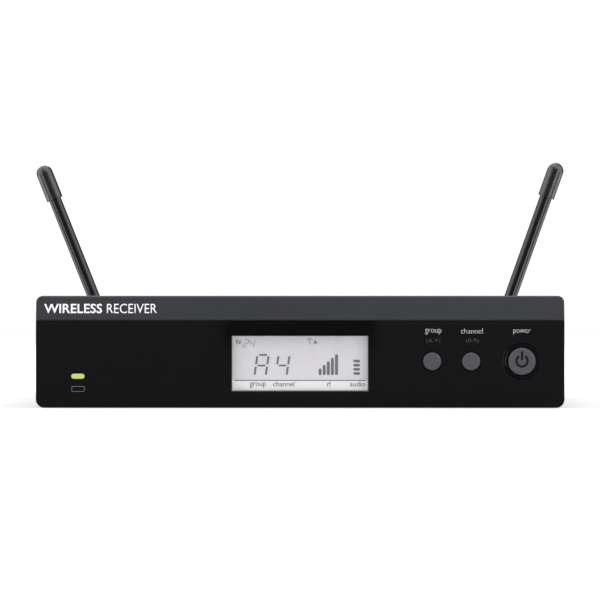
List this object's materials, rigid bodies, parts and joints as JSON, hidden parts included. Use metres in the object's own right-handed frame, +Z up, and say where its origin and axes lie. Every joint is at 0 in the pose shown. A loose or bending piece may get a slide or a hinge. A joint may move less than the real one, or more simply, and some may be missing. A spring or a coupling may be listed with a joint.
{
  "type": "wireless receiver",
  "caption": "Half-rack wireless audio receiver with a painted steel case, gloss front panel, segment display, push buttons and swivelling rod antennas on rear bayonet jacks.",
  "frame": {"origin": "centre of the outline in plan, on the plane the feet stand on", "axes": "+X to the right seen from the front, +Y to the rear, +Z up"},
  "size_m": [0.2244, 0.178, 0.0988],
  "materials": {
    "bezel_plastic": "fine satin texture",
    "panel_gloss": "gloss",
    "window_clear": "clear gloss",
    "lcd": "reflective display film",
    "diffuser": "milky",
    "white_plastic": "satin",
    "contact_rubber": "matte",
    "led_lens": "lit, yellow-green",
    "circuit_board": "solder mask",
    "switch_plastic": "satin",
    "button_plastic": "fine satin texture",
    "bright_steel": "zinc plated",
    "black_steel": "black zinc",
    "case_paint": "fine powder coat",
    "foot_rubber": "matte",
    "shield_tin": "tin plated",
    "capacitor_sleeve": "sleeved can",
    "chip_resin": "moulded",
    "heat_sink": "black anodised",
    "ribbon_vinyl": "vinyl",
    "nylon": "satin",
    "black_nylon": "satin",
    "nickel": "nickel plated",
    "white_polymer": "waxy",
    "gold_contact": "gold plated",
    "silver_pin": "silver plated",
    "rod_sheath": "satin sleeve",
    "cap_rubber": "matte",
    "elbow_plastic": "satin"
  },
  "bodies": {
    "case": {"front_bezel": "bezel_plastic", "front_panel": "panel_gloss", "display_window": "window_clear", "lcd_glass": "lcd", "lcd_backlight": "diffuser", "lcd_frame": "white_plastic", "lcd_contact_strip": "contact_rubber", "led_light_pipe": "led_lens", "status_led": "white_plastic", "control_board": "circuit_board", "control_board_screws": "bright_steel", "tact_switches": "switch_plastic", "bezel_screws": "bright_steel", "chassis_tray": "case_paint", "rear_panel": "case_paint", "top_cover": "case_paint", "case_screws": "black_steel", "rubber_feet": "foot_rubber", "rack_nuts": "bright_steel", "main_board": "circuit_board", "board_standoffs": "bright_steel", "main_board_screws": "bright_steel", "shield_cans": "shield_tin", "capacitors": "capacitor_sleeve", "ic_packages": "chip_resin", "regulator": "heat_sink", "ribbon_cable": "ribbon_vinyl", "ribbon_connectors": "nylon", "jack_housings": "black_nylon", "jack_barrels": "nickel", "jack_dielectrics": "white_polymer", "jack_contacts": "gold_contact", "jack_nuts": "nickel", "xlr_housing": "black_nylon", "xlr_pins": "silver_pin", "xlr_screws": "black_steel", "phone_jack_housing": "black_nylon", "phone_jack_bushing": "nickel", "phone_jack_nut": "nickel", "phone_jack_contacts": "gold_contact", "dc_jack_housing": "black_nylon", "dc_jack_pin": "silver_pin", "cord_hook": "black_nylon"},
    "group_key": {"group_button": "button_plastic", "group_plunger": "switch_plastic"},
    "channel_key": {"channel_button": "button_plastic", "channel_plunger": "switch_plastic"},
    "power_key": {"power_button": "button_plastic", "power_plunger": "switch_plastic"},
    "left_antenna": {"left_rod": "rod_sheath", "left_tip": "cap_rubber", "left_elbow": "elbow_plastic", "left_plug": "nickel"},
    "left_nut": {"left_plug_nut": "nickel"},
    "right_antenna": {"right_rod": "rod_sheath", "right_tip": "cap_rubber", "right_elbow": "elbow_plastic", "right_plug": "nickel"},
    "right_nut": {"right_plug_nut": "nickel"}
  },
  "joints": [
    {"name": "group_press", "type": "slide", "parent": "case", "child": "group_key", "axis": [0, 1, 0], "range_m": [0, 0.0007], "stiffness_N_per_m": 800, "springref_m": -0.0005},
    {"name": "channel_press", "type": "slide", "parent": "case", "child": "channel_key", "axis": [0, 1, 0], "range_m": [0, 0.0007], "stiffness_N_per_m": 800, "springref_m": -0.0005},
    {"name": "power_press", "type": "slide", "parent": "case", "child": "power_key", "axis": [0, 1, 0], "range_m": [0, 0.001], "stiffness_N_per_m": 800, "springref_m": -0.0005},
    {"name": "left_antenna_swivel", "type": "hinge", "parent": "case", "child": "left_antenna", "pos_m": [-0.07934, 0.071, 0.0205], "axis": [0, 1, 0], "range_deg": [-68, 90]},
    {"name": "right_antenna_swivel", "type": "hinge", "parent": "case", "child": "right_antenna", "pos_m": [0.08206, 0.071, 0.0205], "axis": [0, 1, 0], "range_deg": [-90, 70]},
    {"name": "left_nut_turn", "type": "hinge", "parent": "case", "child": "left_nut", "pos_m": [-0.07934, 0.073, 0.0205], "axis": [0, 1, 0], "range_deg": [0, 90]},
    {"name": "right_nut_turn", "type": "hinge", "parent": "case", "child": "right_nut", "pos_m": [0.08206, 0.073, 0.0205], "axis": [0, 1, 0], "range_deg": [0, 90]}
  ]
}
